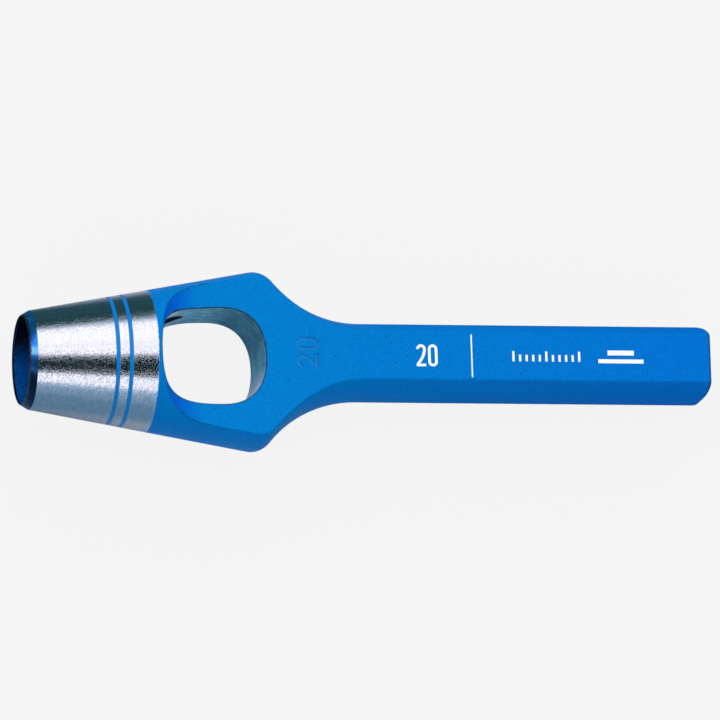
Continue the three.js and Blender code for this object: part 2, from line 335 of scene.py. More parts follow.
def cut(thing, cutter):
    modifier = thing.modifiers.new("cut", "BOOLEAN")
    modifier.operation = "DIFFERENCE"
    modifier.solver = "EXACT"
    modifier.material_mode = "TRANSFER"
    modifier.object = cutter
    bpy.context.view_layer.update()
    apply_modifiers(thing)
    bpy.data.objects.remove(cutter)


# The tool's own frame in the row frame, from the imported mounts.
mounts = {m["name"]: m for m in frame["record"]["mounts"]}
axis_x = Vector(mounts["striking_face"]["axis"]).normalized()
axis_z = -Vector(mounts["shank_back_flat"]["axis"]).normalized()
axis_y = axis_z.cross(axis_x)
tip = Vector(mounts["striking_face"]["pos_m"]) - axis_x * OVERALL_LENGTH * MM
tool_to_row = Matrix.Translation(tip) @ Matrix((axis_x, axis_y, axis_z)).transposed().to_4x4()
mm_to_row = tool_to_row @ Matrix.Scale(MM, 4)

tool_space = bpy.data.objects.new("tool_space", None)
bpy.context.scene.collection.objects.link(tool_space)
tool_space.matrix_world = mm_to_row


def place(thing, slot, *nodes):
    """Moves a finished mesh into the row frame, shades it and ties it to the frame."""
    thing.data.transform(mm_to_row)
    bm = bmesh.new()
    bm.from_mesh(thing.data)
    for face in bm.faces:
        face.smooth = True
    for edge in bm.edges:
        edge.smooth = edge.is_manifold and edge.calc_face_angle(0.0) < SHARP_ANGLE
    bm.to_mesh(thing.data)
    bm.free()
    weighted = thing.modifiers.new("weighted normals", "WEIGHTED_NORMAL")
    weighted.keep_sharp = True
    weighted.weight = FLAT_FACE_WEIGHT
    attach(thing, "root")
    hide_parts(*nodes)


# ---------- materials ----------

class Shader:
    """A small helper that builds one node material."""

    def __init__(self, name):
        self.material = bpy.data.materials.new(name)
        self.material.use_nodes = True
        self.nodes = self.material.node_tree.nodes
        self.links = self.material.node_tree.links
        self.surface = self.nodes["Principled BSDF"]
        place_node = self.node("ShaderNodeTexCoord")
        place_node.object = tool_space
        self.place = place_node.outputs["Object"]

    def node(self, kind, **settings):
        made = self.nodes.new(kind)
        for key, value in settings.items():
            setattr(made, key, value)
        return made

    def wire(self, source, target):
        if isinstance(source, bpy.types.NodeSocket):
            self.links.new(source, target)
        else:
            target.default_value = source

    def math(self, operation, *values):
        node = self.node("ShaderNodeMath", operation=operation)
        for value, target in zip(values, node.inputs):
            self.wire(value, target)
        return node.outputs[0]

    def stretch(self, scale, vector=None):
        node = self.node("ShaderNodeVectorMath", operation="MULTIPLY")
        self.wire(vector or self.place, node.inputs[0])
        node.inputs[1].default_value = scale
        return node.outputs[0]

    def noise(self, scale, detail=3.0, roughness=0.5, vector=None):
        """Smooth noise about 0.5; the scale is in repeats per millimetre."""
        node = self.node("ShaderNodeTexNoise")
        self.wire(vector or self.place, node.inputs["Vector"])
        node.inputs["Scale"].default_value = scale
        node.inputs["Detail"].default_value = detail
        node.inputs["Roughness"].default_value = roughness
        return node.outputs["Fac"]

    def ramp(self, value, low, high, start=0.0, end=1.0):
        """Maps value from low..high to start..end, clamped."""
        node = self.node("ShaderNodeMapRange")
        self.wire(value, node.inputs["Value"])
        for key, number in (("From Min", low), ("From Max", high), ("To Min", start), ("To Max", end)):
            node.inputs[key].default_value = number
        return node.outputs["Result"]

    def facing(self, direction):
        """How much the surface faces the given way, 1 for straight and -1 for away."""
        node = self.node("ShaderNodeVectorMath", operation="DOT_PRODUCT")
        self.wire(self.node("ShaderNodeNewGeometry").outputs["True Normal"], node.inputs[0])
        node.inputs[1].default_value = direction
        return node.outputs["Value"]

    def mix(self, factor, a, b):
        """A colour between a and b."""
        node = self.node("ShaderNodeMix", data_type="RGBA")
        self.wire(factor, node.inputs["Factor"])
        self.wire(a, node.inputs["A"])
        self.wire(b, node.inputs["B"])
        return node.outputs["Result"]

    def blend(self, factor, a, b):
        """A number between a and b."""
        node = self.node("ShaderNodeMix", data_type="FLOAT")
        self.wire(factor, node.inputs[0])
        self.wire(a, node.inputs[2])
        self.wire(b, node.inputs[3])
        return node.outputs[0]

    def bump(self, height, depth_mm, normal=None):
        node = self.node("ShaderNodeBump")
        node.inputs["Strength"].default_value = 1.0
        node.inputs["Distance"].default_value = depth_mm * MM
        self.wire(height, node.inputs["Height"])
        if normal is not None:
            self.wire(normal, node.inputs["Normal"])
        return node.outputs["Normal"]

    def set(self, **values):
        for key, value in values.items():
            self.wire(value, self.surface.inputs[key.replace("_", " ")])
        return self.material


LACQUER_HEAD = (0.001, 0.232, 0.585, 1.0)
LACQUER_SHANK = (0.001, 0.186, 0.60, 1.0)
# painted shade: a deeper blue for the scallops' slopes, standing in for how they turn from the light
LACQUER_SCALLOP_SHADE = (0.001, 0.14, 0.66, 1.0)
LACQUER_CREASE = (0.002, 0.045, 0.10, 1.0)
BORE_BLUE = (0.001, 0.10, 0.36, 1.0)
# dark colour for specks and pits, and also for painted shade in the bore and on the lower bevel
SOOT_AND_SHADE = (0.002, 0.004, 0.008, 1.0)
PRINT_WHITE = (1.0, 1.0, 0.97, 1.0)
STEEL_LIGHT = (0.55, 0.53, 0.55, 1.0)
STEEL_DARK = (0.33, 0.36, 0.39, 1.0)
STEEL_GRAIN = (0.08, 0.24, 0.26, 1.0)
WALL_LIGHT = (0.46, 0.92, 0.96, 1.0)
WALL_DARK = (0.01, 0.17, 0.24, 1.0)
WALL_PAINTED_HIGHLIGHT = (1.0, 0.93, 1.0, 1.0)
WALL_PAINTED_SHADE = (0.002, 0.09, 0.15, 1.0)
RIM_DARK = (0.006, 0.016, 0.018, 1.0)
BEVEL_BLUE = (0.03, 0.36, 0.80, 1.0)
PAINT_FRAY = 0.7                   # how raggedly the lacquer ends on the turned steel
PAINT_EDGE = 0.06
FRINGE = (0.62, 0.66, 0.78, 1.0)   # the pale steel just before the lacquer
FRINGE_REACH = (0.5, 0.1)
RIM_LIGHT = (0.02, 0.12, 0.2, 1.0)
BEVEL_DEEP = (0.01, 0.18, 0.5, 1.0)
# painted highlight on the bevel
BEVEL_PAINTED_GLINT = (0.22, 0.62, 0.85, 1.0)
EDGE_BARE = (0.06, 0.07, 0.075, 1.0)
PRINT_WORN = (0.25, 0.5, 0.85, 1.0)
LACQUER_SHEEN = (0.1, 0.45, 1.0, 1.0)
GROOVE_SHEEN = (0.1, 0.75, 1.0, 1.0)
WALL_SHEEN = (0.4, 0.8, 1.0, 1.0)
TYPICAL_RADIUS = 14.0              # turns an angle round the axis into an arc length

# Where the finishes and the painted shade and highlights change, as start and end of each change in
# millimetres.
LACQUER_SHIFT_X = (55.0, 150.0)
# The scallops' painted shade fades out along these:
SCALLOP_SHADE_X = (50.0, 46.0)
SCALLOP_SHADE_SLOPE = (0.08, 0.6)   # how much the surface faces the shank
BRUSHED_ARC = (-4.0, -8.0)
# painted shade in the window's corner towards the shank
WALL_SHADE_X, WALL_SHADE_Y = (42.0, 48.0), (-1.0, 5.0)
# painted highlights on the window's walls at both ends
HIGHLIGHT_SHANK_X, HIGHLIGHT_SHANK_Y = (48.0, 50.0), (-2.0, -7.0)
HIGHLIGHT_BORE_X = (38.0, 33.0)
# painted shade deeper in the bore and on its upper side
BORE_SHADE_DEEP_X, BORE_SHADE_UPPER_Y = (4.0, 24.0), (0.0, 6.0)
EDGE_LAND_X = (0.36, 0.46)
# painted shade on the lower part of the bevel
BEVEL_SHADE_ARC = (-1.0, -7.0)
# where the bevel's painted glint sits round the axis
GLINT_ARC, GLINT_CENTRE = (1.4, 2.2), -0.2


def coat_of_lacquer(s):
    """Colour, roughness and normal of brushed lacquer with grain, specks and slow waves, and a painted
    shade on the scallops' slopes.
    """
    specks = s.ramp(s.noise(1.35, 1.0, 0.4), 0.775, 0.80)
    split = s.node("ShaderNodeSeparateXYZ")
    s.wire(s.place, split.inputs[0])
    fine = s.noise(3.4, 3.0, 0.7)
    colour = s.mix(s.ramp(split.outputs["X"], *LACQUER_SHIFT_X), LACQUER_HEAD, LACQUER_SHANK)
    # Painted shade: slopes of the scallops that face the shank get a deeper blue.
    sloped = s.ramp(s.facing(axis_x), *SCALLOP_SHADE_SLOPE)
    scallop_shade = s.math("MULTIPLY", sloped, s.ramp(split.outputs["X"], *SCALLOP_SHADE_X))
    colour = s.mix(scallop_shade, colour, LACQUER_SCALLOP_SHADE)
    colour = s.mix(s.ramp(fine, 0.42, 0.7, 0.0, 0.4), colour, LACQUER_CREASE)
    colour = s.mix(s.math("MULTIPLY", specks, 0.75), colour, SOOT_AND_SHADE)
    normal = s.bump(s.noise(2.1, 3.0, 0.6), 0.06, s.bump(s.noise(0.16, 2.0), 0.06))
    roughness = s.ramp(s.noise(0.7, 3.0), 0.3, 0.7, 0.4, 0.52)
    return colour, roughness, normal


def lacquer_material(name, specular, coat, sheen):
    s = Shader(name)
    colour, roughness, normal = coat_of_lacquer(s)
    s.set(Base_Color=colour, Roughness=roughness, Normal=normal)
    s.set(Specular_Tint=sheen, Specular_IOR_Level=specular)
    return s.set(Coat_Weight=coat, Coat_Roughness=0.2)


def around_axis(s):
    """The distance along the tool, and the arc length round it at a typical radius."""
    split = s.node("ShaderNodeSeparateXYZ")
    s.wire(s.place, split.inputs[0])
    turn = s.math("ARCTAN2", split.outputs["Y"], split.outputs["Z"])
    return split.outputs["X"], s.math("MULTIPLY", turn, TYPICAL_RADIUS)


def scratches(s, slant, along, across):
    """Noise drawn out into fine lines that run round the axis, slanted by the given amount."""
    x, arc = around_axis(s)
    join = s.node("ShaderNodeCombineXYZ")
    slanted = s.math("ADD", x, s.math("MULTIPLY", arc, slant))
    s.wire(s.math("MULTIPLY", slanted, across), join.inputs["X"])
    s.wire(s.math("MULTIPLY", arc, along), join.inputs["Y"])
    return s.noise(1.0, 3.0, 0.6, join.outputs[0])


def steel_material():
    s = Shader("turned_steel")
    turning = scratches(s, 0.0, 0.16, 6.0)
    brushed = scratches(s, -0.3, 0.5, 4.6)
    grain = s.noise(3.1, 3.0, 0.75)
    x, arc = around_axis(s)
    lower = s.ramp(arc, *BRUSHED_ARC)
    lines = s.blend(lower, s.ramp(turning, 0.0, 1.0, 0.4, 0.62), brushed)
    colour = s.mix(s.ramp(lines, 0.36, 0.58), STEEL_DARK, STEEL_LIGHT)
    colour = s.mix(s.ramp(grain, 0.5, 0.64, 0.0, 0.3), colour, STEEL_GRAIN)
    normal = s.bump(lines, 0.010, s.bump(s.ramp(grain, 0.5, 0.66), 0.009, s.bump(grain, 0.008)))
    roughness = s.ramp(grain, 0.3, 0.7, 0.06, 0.14)
    paint, paint_roughness, _ = coat_of_lacquer(s)
    ragged = s.math("ADD", x, s.ramp(s.noise(2.8, 4.0, 0.75), 0.3, 0.7, -PAINT_FRAY, PAINT_FRAY))
    painted = s.ramp(ragged, BRIGHT_END - PAINT_EDGE, BRIGHT_END + PAINT_EDGE)
    fringe = s.ramp(ragged, *(BRIGHT_END - reach for reach in FRINGE_REACH), 0.0, 0.5)
    colour = s.mix(fringe, colour, FRINGE)
    s.set(Base_Color=s.mix(painted, colour, paint), Normal=normal)
    return s.set(
        Metallic=s.math("SUBTRACT", 1.0, painted), Roughness=s.blend(painted, roughness, paint_roughness)
    )


def wall_material():
    s = Shader("bare_wall_steel")
    split = s.node("ShaderNodeSeparateXYZ")
    s.wire(s.place, split.inputs[0])
    x, y = split.outputs["X"], split.outputs["Y"]
    streaks = s.noise(1.0, 5.0, 0.65, s.stretch((0.45, 0.45, 5.5)))
    fine = s.noise(1.0, 3.0, 0.7, s.stretch((1.4, 1.4, 15.0)))
    blotch = s.noise(0.3, 3.0)
    pits = s.ramp(s.noise(1.7, 1.0, 0.4), 0.72, 0.76)
    colour = s.mix(s.ramp(streaks, 0.43, 0.58), WALL_DARK, WALL_LIGHT)
    colour = s.mix(s.ramp(fine, 0.48, 0.62, 0.0, 0.8), colour, WALL_LIGHT)
    colour = s.mix(s.ramp(fine, 0.47, 0.35, 0.0, 0.8), colour, WALL_DARK)
    colour = s.mix(s.ramp(blotch, 0.45, 0.7, 0.0, 0.5), colour, WALL_DARK)
    # The corner towards the shank is painted in shade, and both ends of the window get a painted highlight
    # in streaks.
    corner_shade = s.math("MULTIPLY", s.ramp(x, *WALL_SHADE_X), s.ramp(y, *WALL_SHADE_Y))
    shaded = s.math("MULTIPLY", corner_shade, s.ramp(streaks, 0.3, 0.6, 0.95, 0.5))
    colour = s.mix(shaded, colour, WALL_PAINTED_SHADE)
    shank_end = s.math("MULTIPLY", s.ramp(x, *HIGHLIGHT_SHANK_X), s.ramp(y, *HIGHLIGHT_SHANK_Y))
    highlight_area = s.math("MAXIMUM", shank_end, s.ramp(x, *HIGHLIGHT_BORE_X))
    painted_highlight = s.math("MULTIPLY", highlight_area, s.ramp(streaks, 0.38, 0.58, 0.15, 0.95))
    colour = s.mix(painted_highlight, colour, WALL_PAINTED_HIGHLIGHT)
    colour = s.mix(s.math("MULTIPLY", pits, 0.8), colour, SOOT_AND_SHADE)
    normal = s.bump(streaks, 0.05, s.bump(fine, 0.02, s.bump(blotch, 0.12)))
    roughness = s.ramp(streaks, 0.3, 0.7, 0.28, 0.45)
    # The painted highlight is made less metallic so that it shows bright.
    s.set(Specular_Tint=WALL_SHEEN, Specular_IOR_Level=0.2, Metallic=s.blend(painted_highlight, 0.5, 0.1))
    return s.set(Base_Color=colour, Roughness=roughness, Normal=normal)


def rim_material():
    s = Shader("dark_rim")
    # The window's rounded rims are painted dark all round, with a little mottling.
    wear = s.noise(1.8, 3.0, 0.6)
    colour = s.mix(s.ramp(wear, 0.35, 0.65), RIM_DARK, RIM_LIGHT)
    s.set(Base_Color=colour, Roughness=s.ramp(wear, 0.3, 0.7, 0.4, 0.6), Normal=s.bump(wear, 0.02))
    return s.set(Specular_IOR_Level=0.05)


def crease_material():
    s = Shader("crease_lacquer")
    colour, roughness, normal = coat_of_lacquer(s)
    wear = s.ramp(s.noise(1.6, 3.0, 0.7), 0.4, 0.62, 0.25, 0.85)
    s.set(Base_Color=s.mix(wear, colour, LACQUER_CREASE), Roughness=roughness, Normal=normal)
    return s.set(Specular_IOR_Level=0.03)


def bore_material():
    s = Shader("bore_lacquer")
    split = s.node("ShaderNodeSeparateXYZ")
    s.wire(s.place, split.inputs[0])
    patch = s.noise(2.2, 4.0, 0.7)
    # Painted shade: the bore darkens deeper in and towards its upper side; the patches add real dark
    # specks.
    deep = s.ramp(split.outputs["X"], *BORE_SHADE_DEEP_X)
    height = s.math("ADD", split.outputs["Y"], s.ramp(patch, 0.3, 0.7, -3.0, 3.0))
    upper = s.ramp(height, *BORE_SHADE_UPPER_Y)
    shade_and_specks = s.math("MAXIMUM", s.math("MAXIMUM", deep, upper), s.ramp(patch, 0.55, 0.61, 0.0, 0.8))
    colour = s.mix(shade_and_specks, BORE_BLUE, SOOT_AND_SHADE)
    normal = s.bump(patch, 0.04)
    s.set(Base_Color=colour, Roughness=s.ramp(patch, 0.3, 0.7, 0.45, 0.65), Normal=normal)
    return s.set(Specular_IOR_Level=0.02)


def edge_material():
    s = Shader("edge_lacquer")
    x, arc = around_axis(s)
    ragged = s.math("ADD", x, s.ramp(s.noise(1.6, 3.0), 0.3, 0.7, -0.12, 0.12))
    coated = s.ramp(ragged, *EDGE_LAND_X)
    cloud = s.noise(0.5, 3.0)
    tint = s.mix(s.ramp(cloud, 0.4, 0.65), BEVEL_BLUE, BEVEL_DEEP)
    # Painted highlight: a pale blue glint in a frayed band round the bevel.
    from_glint = s.math("ABSOLUTE", s.math("SUBTRACT", arc, GLINT_CENTRE))
    frayed = s.math("ADD", from_glint, s.ramp(s.noise(2.2, 3.0), 0.3, 0.7, 0.0, 1.4))
    painted_glint = s.ramp(frayed, *GLINT_ARC)
    tint = s.mix(painted_glint, BEVEL_PAINTED_GLINT, tint)
    # Painted shade: the lower part of the bevel darkens.
    tint = s.mix(s.ramp(arc, *BEVEL_SHADE_ARC, 0.0, 0.94), tint, SOOT_AND_SHADE)
    colour = s.mix(coated, EDGE_BARE, tint)
    normal = s.bump(s.noise(3.5, 3.0), 0.012)
    s.set(Base_Color=colour, Metallic=0.9, Roughness=s.ramp(cloud, 0.3, 0.7, 0.2, 0.32), Normal=normal)
    return s.set(Coat_Weight=0.06, Coat_Roughness=0.12)


def print_material():
    s = Shader("white_print")
    wear = s.ramp(s.noise(3.2, 4.0, 0.7), 0.66, 0.74)
    colour = s.mix(wear, PRINT_WHITE, PRINT_WORN)
    return s.set(Base_Color=colour, Roughness=0.55, Normal=s.bump(s.noise(6.0, 2.0), 0.004))


lacquer = lacquer_material("blue_lacquer", 0.035, 0.0, LACQUER_SHEEN)
groove_paint = lacquer_material("groove_lacquer", 0.3, 0.12, GROOVE_SHEEN)
bore_paint = bore_material()
steel = steel_material()
wall = wall_material()
rim = rim_material()
crease = crease_material()
edge = edge_material()
ink = print_material()


# ---------- pieces ----------

def groove_floor(centre):
    return cone_radius(centre) - GROOVE_DEPTH


def paint_bore(thing, start, end):
    """Gives the faces of the bore the second material."""
    tolerance = 0.02
    for polygon in thing.data.polygons:
        c = polygon.center
        if start < c.x < end and math.hypot(c.y, c.z) < bore_radius(c.x) + tolerance:
            polygon.material_index = 1


def cutter_cone():
    profile = [(BEVEL_LENGTH, bore_radius(BEVEL_LENGTH)), (BRIGHT_END, bore_radius(BRIGHT_END))]
    profile.append((BRIGHT_END, cone_radius(BRIGHT_END)))
    edge_break = 0.06
    for centre in reversed(GROOVE_CENTRES):
        rear, front = centre + GROOVE_WIDTH / 2, centre - GROOVE_WIDTH / 2
        profile += [
            (rear + edge_break, cone_radius(rear + edge_break)),
            (rear, cone_radius(rear) - edge_break),
            (rear, groove_floor(centre)),
            (front, groove_floor(centre)),
            (front, cone_radius(front) - edge_break),
            (front - edge_break, cone_radius(front - edge_break)),
        ]
    profile.append((BEVEL_LENGTH, cone_radius(BEVEL_LENGTH)))
    cone = turned("cutter_cone_turned", profile)
    cone.data.materials.append(steel)
    cone.data.materials.append(bore_paint)
    paint_bore(cone, BEVEL_LENGTH, BRIGHT_END)
    place(cone, "turned_steel", "cutter_cone")


def cutting_edge():
    lip = 0.04
    land_end = 0.5
    ring = turned("cutting_edge_ground", [
        (lip, BORE_EDGE_RADIUS),
        (land_end, bore_radius(land_end)),
        (BEVEL_LENGTH, bore_radius(BEVEL_LENGTH)),
        (BEVEL_LENGTH, cone_radius(BEVEL_LENGTH)),
        (lip, EDGE_RADIUS + lip / 2),
        (0.0, EDGE_RADIUS - lip),
        (0.0, BORE_EDGE_RADIUS + lip),
    ])
    ring.data.materials.append(edge)
    ring.data.materials.append(bore_paint)
    paint_bore(ring, land_end, BEVEL_LENGTH)
    place(ring, "edge_lacquer", "cutting_edge")


def groove_lacquer(name, node, centre):
    rear, front = centre + GROOVE_WIDTH / 2, centre - GROOVE_WIDTH / 2
    crown = LACQUER_SINK / 2
    ring = turned(name, [
        (front, groove_floor(centre)),
        (rear, groove_floor(centre)),
        (rear, cone_radius(rear) - 2 * LACQUER_SINK),
        (centre + GROOVE_WIDTH / 4, cone_radius(centre + GROOVE_WIDTH / 4) - crown),
        (centre - GROOVE_WIDTH / 4, cone_radius(centre - GROOVE_WIDTH / 4) - crown),
        (front, cone_radius(front) - 2 * LACQUER_SINK),
    ])
    ring.data.materials.append(groove_paint)
    place(ring, "blue_lacquer", node)


def window_cutter():
    """A prism through the window that flares at the rims, so that the cut leaves them rounded."""
    outline = window_outline()
    count = len(outline)
    probe, least_round, flare = 0.2, 0.02, 0.55
    rings = [[] for _ in range(2 * (len(CUTTER_STEPS) + 2))]
    for i, p in enumerate(outline):
        tangent = (outline[(i + 1) % count] - outline[i - 1]).normalized()
        outward = Vector((tangent.y, -tangent.x))
        height = surface_height(p.x, p.y)
        ahead = p + outward * probe
        climb = max(surface_height(ahead.x, ahead.y) - height, 0.0) / probe
        size = RIM_ROUND * max(1.0 - climb, 0.0) + least_round
        column = []
        for a in CUTTER_STEPS:
            q = p + outward * size * (1 - math.cos(a))
            column.append((q.x, q.y, height - size + size * math.sin(a)))
        last = CUTTER_STEPS[-1]
        q = p + outward * (size * (1 - math.cos(last)) + size)
        column.append((q.x, q.y, height - size + size * math.sin(last) + size * flare))
        column.append((q.x, q.y, CUTTER_REACH))
        lower = [(x, y, -z) for x, y, z in reversed(column)]
        for ring, point in zip(rings, lower + column):
            ring.append(point)
    cutter = new_object("window_cutter", skin(rings))
    cutter.data.materials.append(wall)
    return cutter


def figure_two(width, height, stroke):
    outer = width / 2
    bowl = height - outer
    turn = [math.pi * i / 14 for i in range(15)]
    points = [(0, 0), (width, 0), (width, stroke), (stroke * 1.25, stroke)]
    points += [
        ((1 - t) ** 2 * stroke * 1.25 + 2 * t * (1 - t) * width + t * t * width,
         (1 - t) ** 2 * stroke + 2 * t * (1 - t) * height * 0.45 + t * t * bowl)
        for t in (0.2, 0.4, 0.6, 0.8)
    ]
    points += [(outer + outer * math.cos(a), bowl + outer * math.sin(a)) for a in turn]
    inner = outer - stroke
    points += [(outer + inner * math.cos(a), bowl + inner * math.sin(a)) for a in reversed(turn)]
    points += [
        ((1 - t) ** 2 * (width - stroke) + 2 * t * (1 - t) * (width - stroke),
         (1 - t) ** 2 * bowl + 2 * t * (1 - t) * height * 0.5 + t * t * stroke)
        for t in (0.2, 0.4, 0.6, 0.8, 1.0)
    ]
    return [points]


def figure_zero(width, height, stroke):
    outlines = []
    for inset in (0.0, stroke):
        radius = width / 2 - inset
        bottom, top = width / 2, height - width / 2
        turn = [math.pi * i / 14 for i in range(15)]
        points = [(width / 2 + radius * math.cos(a), top + radius * math.sin(a)) for a in turn]
        points += [(width / 2 - radius * math.cos(a), bottom - radius * math.sin(a)) for a in turn]
        outlines.append(points)
    return outlines


def stamp_cutter(outlines, along):
    """A punch-mark tool: a filled figure with sloping sides, set into the head's front."""
    curve = bpy.data.curves.new("stamp", "CURVE")
    curve.dimensions = "2D"
    curve.fill_mode = "BOTH"
    curve.extrude = STAMP_DEPTH
    curve.bevel_depth = STAMP_SLOPE
    curve.bevel_resolution = 2
    curve.offset = -STAMP_INSET
    for points in outlines:
        spline = curve.splines.new("POLY")
        spline.points.add(len(points) - 1)
        for target, (x, y) in zip(spline.points, points):
            target.co = (x, y, 0, 1)
        spline.use_cyclic_u = True
    shape = bpy.data.objects.new("stamp_curve", curve)
    bpy.context.scene.collection.objects.link(shape)
    bpy.context.view_layer.update()
    graph = bpy.context.evaluated_depsgraph_get()
    mesh = bpy.data.meshes.new_from_object(shape.evaluated_get(graph))
    bpy.data.objects.remove(shape)
    length = 2 * STAMP_FIGURE["width"] + STAMP_GAP
    height = half_thickness(STAMP_CENTRE[0]) + STAMP_LIFT
    mesh.transform(
        Matrix.Translation((STAMP_CENTRE[0], STAMP_CENTRE[1], height))
        @ Matrix.Rotation(math.pi / 2, 4, "Z")
        @ Matrix.Translation((along - length / 2, -STAMP_FIGURE["height"] / 2, 0))
    )
    bm = bmesh.new()
    bm.from_mesh(mesh)
    bmesh.ops.remove_doubles(bm, verts=bm.verts, dist=STAMP_WELD)
    bmesh.ops.recalc_face_normals(bm, faces=bm.faces)
    cutter = new_object("stamp_cutter", bm)
    cutter.data.materials.append(groove_paint)
    return cutter


def bore_cutter():
    profile = [
        (BORE_CUT_START, 0.0),
        (BORE_CUT_START, bore_radius(BORE_CUT_START)),
        (BORE_DEPTH, bore_radius(BORE_DEPTH)),
        (BORE_DEPTH + BORE_BLIND_CONE, 0.0),
    ]
    rings = []
    for i in range(TURNED_SEGMENTS):
        a = 2 * math.pi * i / TURNED_SEGMENTS
        rings.append([(x, r * math.cos(a), r * math.sin(a)) for x, r in profile])
    cutter = new_object("bore_cutter", skin(rings, wrap=True))
    cutter.data.materials.append(bore_paint)
    return cutter


def forging():
    stations = [BRIGHT_END]
    stations += spread(WINDOW_START, SCALLOP_END, 48, 2.0)
    stations += spread(SCALLOP_END, SHOULDER_START, 12)
    stations += spread(SHOULDER_START, SHOULDER_END, 20)
    stations += spread(SHOULDER_END, NECK_END, 44)
    stations += spread(NECK_END, OVERALL_LENGTH - END_CORNER_LENGTH, 6)
    turns = [math.pi / 2 * i / END_STEPS for i in range(END_STEPS + 1)]
    stations += [OVERALL_LENGTH - END_CORNER_LENGTH * (1 - math.sin(a)) for a in turns]
    half = 2 * CREASE_SEGMENTS + SIDE_SEGMENTS + 1

    def crease_paint(ring, i):
        step = i % half
        on_crease = step < CREASE_SEGMENTS or CREASE_SEGMENTS + SIDE_SEGMENTS <= step < half - 1
        beside_scallop = on_crease and WINDOW_START <= stations[ring] < CREASE_LINE_END
        on_end = stations[ring] > OVERALL_LENGTH - END_LINE_WIDTH
        return CREASE_SLOT if beside_scallop or on_end else 0

    body = new_object("forged_body", skin([cross_section(x) for x in stations], paint=crease_paint))
    finishes = (lacquer, wall, bore_paint, rim, crease, groove_paint)
    for material in finishes:
        body.data.materials.append(material)
    cut(body, window_cutter())
    cut(body, bore_cutter())
    cut(body, stamp_cutter(figure_two(**STAMP_FIGURE), 0.0))
    cut(body, stamp_cutter(figure_zero(**STAMP_FIGURE), STAMP_FIGURE["width"] + STAMP_GAP))
    slots = [m.name for m in body.data.materials]
    kept = {
        wall.name: WALL_SLOT,
        bore_paint.name: BORE_SLOT,
        crease.name: CREASE_SLOT,
        groove_paint.name: STAMP_SLOT,
    }
    for polygon in body.data.polygons:
        index = kept.get(slots[polygon.material_index], 0)
        if index == WALL_SLOT and abs(polygon.normal.z) > RIM_TILT:
            index = RIM_SLOT
        polygon.material_index = index
    while len(body.data.materials) > len(finishes):
        body.data.materials.pop()
    place(body, "blue_lacquer", "punch_head", "shank")


def printed_marks():
    """The CAD's own plates are the right shape; they only need their ink."""
    for name, node in frame["nodes"].items():
        if name.startswith(("size_digit", "divider", "rule_tick", "label_bar")):
            node.data.materials.clear()
            node.data.materials.append(ink)


cutting_edge()
cutter_cone()
groove_lacquer("front_groove_ring", "front_groove_lacquer", GROOVE_CENTRES[0])
groove_lacquer("rear_groove_ring", "rear_groove_lacquer", GROOVE_CENTRES[1])
forging()
printed_marks()

# ---------- camera ----------

VIEW_YAW = math.radians(12.2)      # how far the camera looks into the cutting end
VIEW_PITCH = math.radians(11.8)    # how far it looks up at the lower sides
VIEW_ROLL = math.radians(0.557)
LENS_MM = 1200.0
SENSOR_MM = 36.0
VIEW_WIDTH = 160.3                 # millimetres across the picture at the tool
AIM_X = 77.05                       # the point of the axis under the middle of the picture
AIM_UP = 0.73
CLIP_START, CLIP_END = 0.05, 40.0   # metres

toward_camera = (
    -math.sin(VIEW_YAW) * axis_x
    - math.cos(VIEW_YAW) * math.sin(VIEW_PITCH) * axis_y
    + math.cos(VIEW_YAW) * math.cos(VIEW_PITCH) * axis_z
)
picture_right = (axis_x - axis_x.dot(toward_camera) * toward_camera).normalized()
picture_up = toward_camera.cross(picture_right)

camera_data = bpy.data.cameras.new("camera")
camera_data.lens = LENS_MM
camera_data.sensor_width = SENSOR_MM
camera_data.clip_start = CLIP_START
camera_data.clip_end = CLIP_END
camera = bpy.data.objects.new("camera", camera_data)
bpy.context.scene.collection.objects.link(camera)
turn = Matrix((picture_right, picture_up, toward_camera)).transposed()
roll = Matrix.Rotation(VIEW_ROLL, 3, toward_camera)
aim = tip + (axis_x * AIM_X + picture_up * AIM_UP) * MM
distance = LENS_MM * VIEW_WIDTH / SENSOR_MM * MM
camera.matrix_world = Matrix.Translation(aim + toward_camera * distance) @ (roll @ turn).to_4x4()
bpy.context.scene.camera = camera

# ---------- floor and light ----------

# The studio round the tool's axis: angle from the camera's side (0) over the upper side of the
# picture (positive) and under the lower side (negative) in degrees, brightness, and tint.
TEAL = (0.25, 1.0, 1.1)
COOL = (0.62, 1.0, 1.42)
LILAC = (1.0, 0.985, 1.07)
STUDIO_BANDS = (
    (-180, 0.30, COOL), (-95, 0.50, COOL), (-60, 0.60, COOL), (-52, 0.80, COOL), (-47, 2.05, LILAC),
    (-29, 2.15, LILAC), (-27, 0.8, COOL), (-24, 0.03, TEAL), (6, 0.03, TEAL), (10, 0.4, COOL),
    (13, 2.2, LILAC), (27, 2.1, LILAC), (31, 1.7, LILAC), (36, 2.1, LILAC), (68, 2.25, LILAC),
    (76, 0.6, COOL), (82, 0.09, TEAL), (120, 0.10, TEAL), (150, 0.20, COOL), (180, 0.30, COOL),
)
BRIGHTEST = 2.6
# Towards the ends of the tool the studio falls off: direction along the axis, share of light left.
STUDIO_ENDS = (
    (-1.0, (0.45, 0.42, 0.58)), (-0.6, (0.5, 0.48, 0.62)), (-0.32, (1.0, 1.0, 1.0)),
    (0.35, (1.0, 1.0, 1.0)), (0.65, (0.3, 0.3, 0.3)), (1.0, (0.3, 0.3, 0.3)),
)
FLOOR_BOUNCE_LOWER = (0.22, 0.42, 0.53, 1.0)   # the light that the floor sends back to the tool
FLOOR_BOUNCE_UPPER = (0.04, 0.12, 0.13, 1.0)
